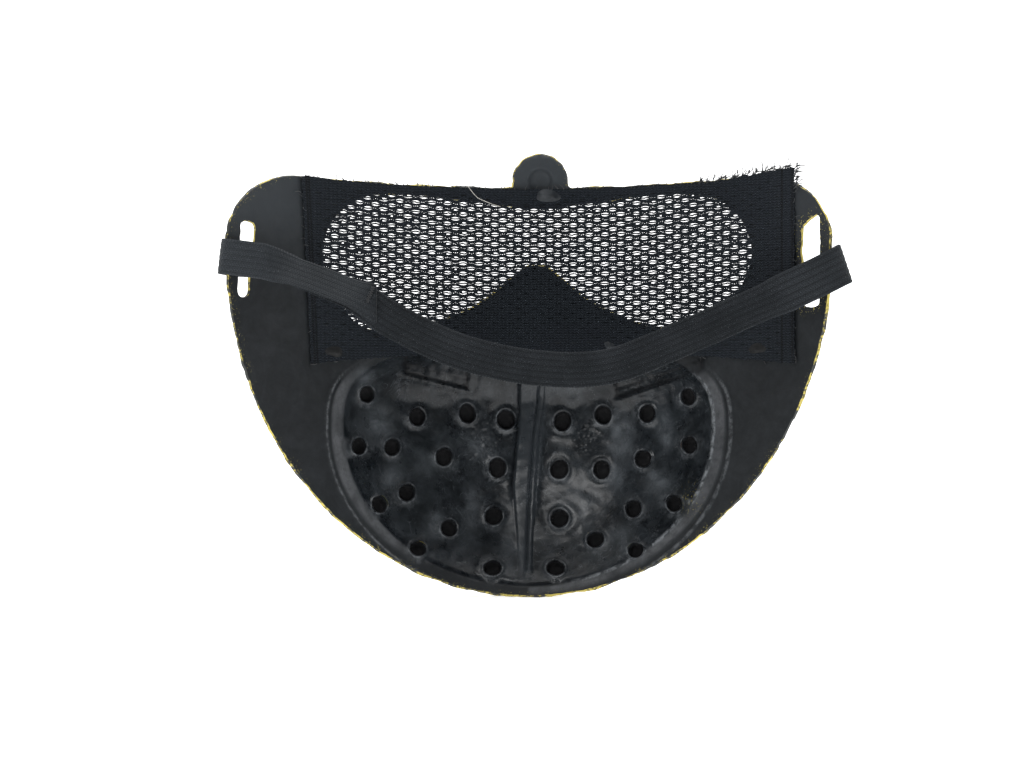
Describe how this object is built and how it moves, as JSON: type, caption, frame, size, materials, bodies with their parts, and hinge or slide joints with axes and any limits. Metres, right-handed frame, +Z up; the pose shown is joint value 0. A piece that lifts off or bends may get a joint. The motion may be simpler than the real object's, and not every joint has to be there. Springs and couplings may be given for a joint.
{
  "type": "camouflage face mask",
  "caption": "Thin formed face mask with a mesh-covered eye window, a domed muzzle with blind vents, and an elastic strap looped through a slot in each cheek.",
  "frame": {"origin": "midway between the two strap slots, in the plane where the strap crosses behind the face", "axes": "+X to the wearer's left, +Y from the mask towards the wearer, +Z up towards the brow"},
  "size_m": [0.2243, 0.0739, 0.1625],
  "materials": {
    "shell_plastic": "black semi-gloss formed sheet inside, camouflage paint outside",
    "mesh_fabric": "open knitted polyester mesh",
    "elastic": "ribbed knitted elastic",
    "thread": "sewing thread",
    "glue": "cloudy hot-melt glue"
  },
  "bodies": {
    "mask": {"face_shell": "shell_plastic", "eye_mesh": "mesh_fabric", "strap_loop_left": "elastic", "strap_loop_right": "elastic", "glue_bead_brow": "glue", "glue_bead_nose": "glue", "glue_bead_left": "glue", "glue_bead_right": "glue"},
    "strap": {"strap_run": "elastic", "strap_tail_left": "elastic", "strap_tail_right": "elastic", "bar_tack_left": "thread", "bar_tack_right": "thread"}
  },
  "joints": [
    {"name": "strap_swing", "type": "hinge", "parent": "mask", "child": "strap", "pos_m": [0, 0, -0.00605], "axis": [0.9987, 0, 0.0515], "range_deg": [0, 120]}
  ]
}
